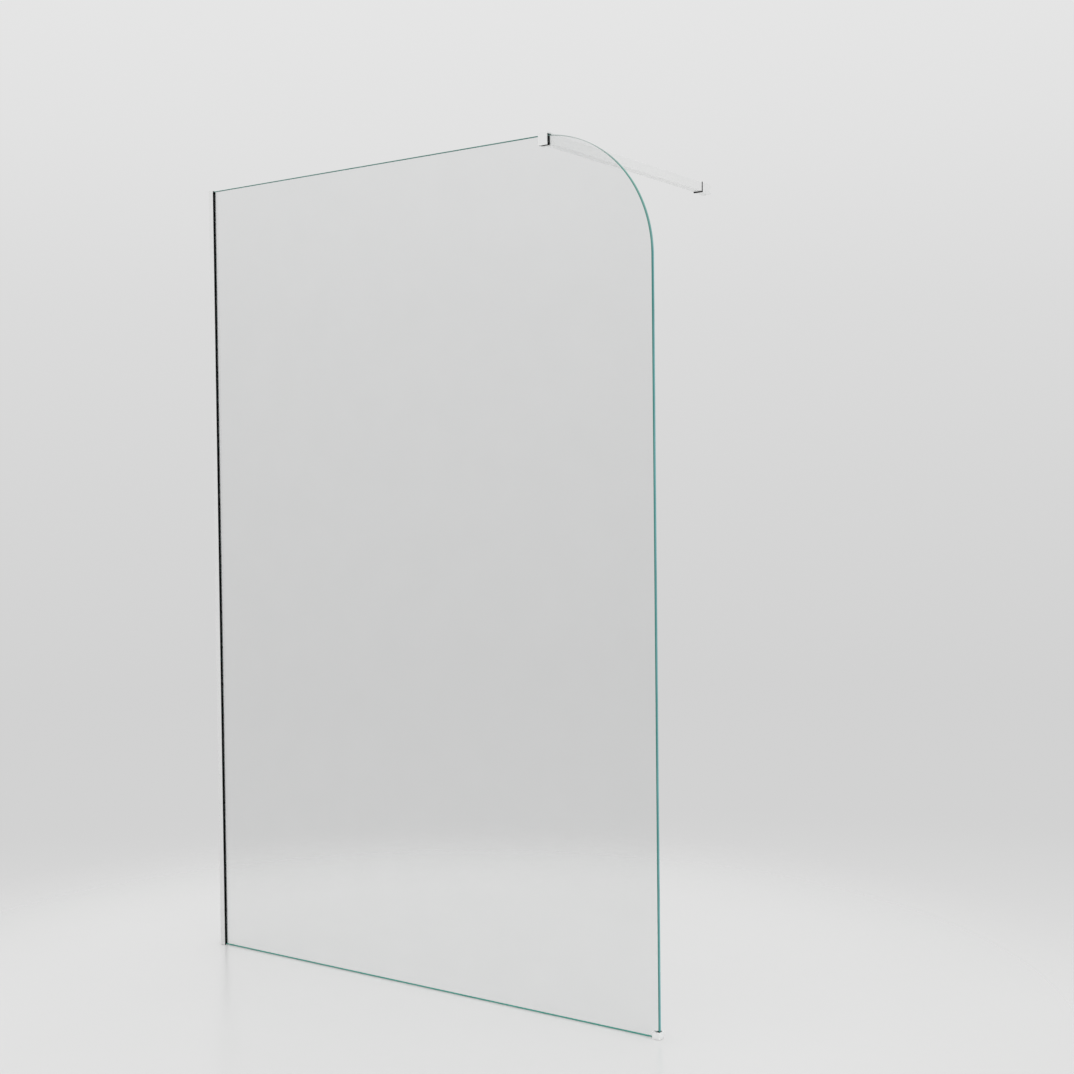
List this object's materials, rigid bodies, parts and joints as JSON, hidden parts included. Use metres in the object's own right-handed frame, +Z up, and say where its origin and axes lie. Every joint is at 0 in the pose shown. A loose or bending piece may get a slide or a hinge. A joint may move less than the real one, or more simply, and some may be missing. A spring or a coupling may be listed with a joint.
{
  "type": "walk-in shower screen",
  "caption": "Fixed walk-in shower screen: clear glass pane with a round top corner, in a slim wall channel, steadied by a square bar to the wall behind and a corner shoe on the floor.",
  "frame": {"origin": "foot of the wall channel: on the side wall, on the floor, in the middle of the glass thickness", "axes": "+X along the glass away from the side wall, +Y from the glass to the wall behind, +Z up"},
  "size_m": [1.3578, 0.7598, 2.005],
  "materials": {
    "clear_glass": "clear float glass, polished faces, ground green edges",
    "white_coat": "white satin powder coat",
    "black_rubber": "matt black",
    "stainless": "stainless",
    "plain_aluminium": "mill finish",
    "white_plastic": "white",
    "clear_plastic": "clear",
    "pale_silicone": "pale translucent"
  },
  "bodies": {
    "frame": {"wall_channel": "white_coat", "channel_gasket_front": "black_rubber", "channel_gasket_rear": "black_rubber", "setting_block_near": "clear_plastic", "setting_block_far": "clear_plastic", "foot_bead": "pale_silicone", "fork_body": "white_coat", "fork_liner": "black_rubber", "pressure_plate": "stainless", "fork_plug": "plain_aluminium", "fork_plug_screw": "stainless", "bar_tube": "white_coat", "bar_gasket": "black_rubber", "wall_plug": "plain_aluminium", "wall_plug_screw": "stainless", "wall_block": "white_coat", "wall_plate": "stainless", "floor_clip": "white_coat", "clip_liner": "black_rubber"},
    "glass": {"glass_panel": "clear_glass"},
    "cap": {"channel_cap": "white_plastic"},
    "fork_screw_l": {"fork_screw_left": "stainless"},
    "fork_screw_r": {"fork_screw_right": "stainless"},
    "bar_lock_front": {"bar_lock_screw_front": "stainless"},
    "bar_lock_rear": {"bar_lock_screw_rear": "stainless"},
    "block_lock": {"block_lock_screw": "stainless"}
  },
  "joints": [
    {"name": "glass_adjust", "type": "slide", "parent": "frame", "child": "glass", "axis": [-1, 0, 0], "range_m": [0, 0.003]},
    {"name": "cap_lift", "type": "slide", "parent": "frame", "child": "cap", "axis": [0, 0, 1], "range_m": [0, 0.014]},
    {"name": "fork_screw_left_out", "type": "slide", "parent": "frame", "child": "fork_screw_l", "axis": [0, 1, 0], "range_m": [0, 0.004]},
    {"name": "fork_screw_right_out", "type": "slide", "parent": "frame", "child": "fork_screw_r", "axis": [0, 1, 0], "range_m": [0, 0.004]},
    {"name": "bar_lock_front_out", "type": "slide", "parent": "frame", "child": "bar_lock_front", "axis": [0, 0, -1], "range_m": [0, 0.004]},
    {"name": "bar_lock_rear_out", "type": "slide", "parent": "frame", "child": "bar_lock_rear", "axis": [0, 0, -1], "range_m": [0, 0.004]},
    {"name": "block_lock_out", "type": "slide", "parent": "frame", "child": "block_lock", "axis": [0, 0, -1], "range_m": [0, 0.003]}
  ]
}
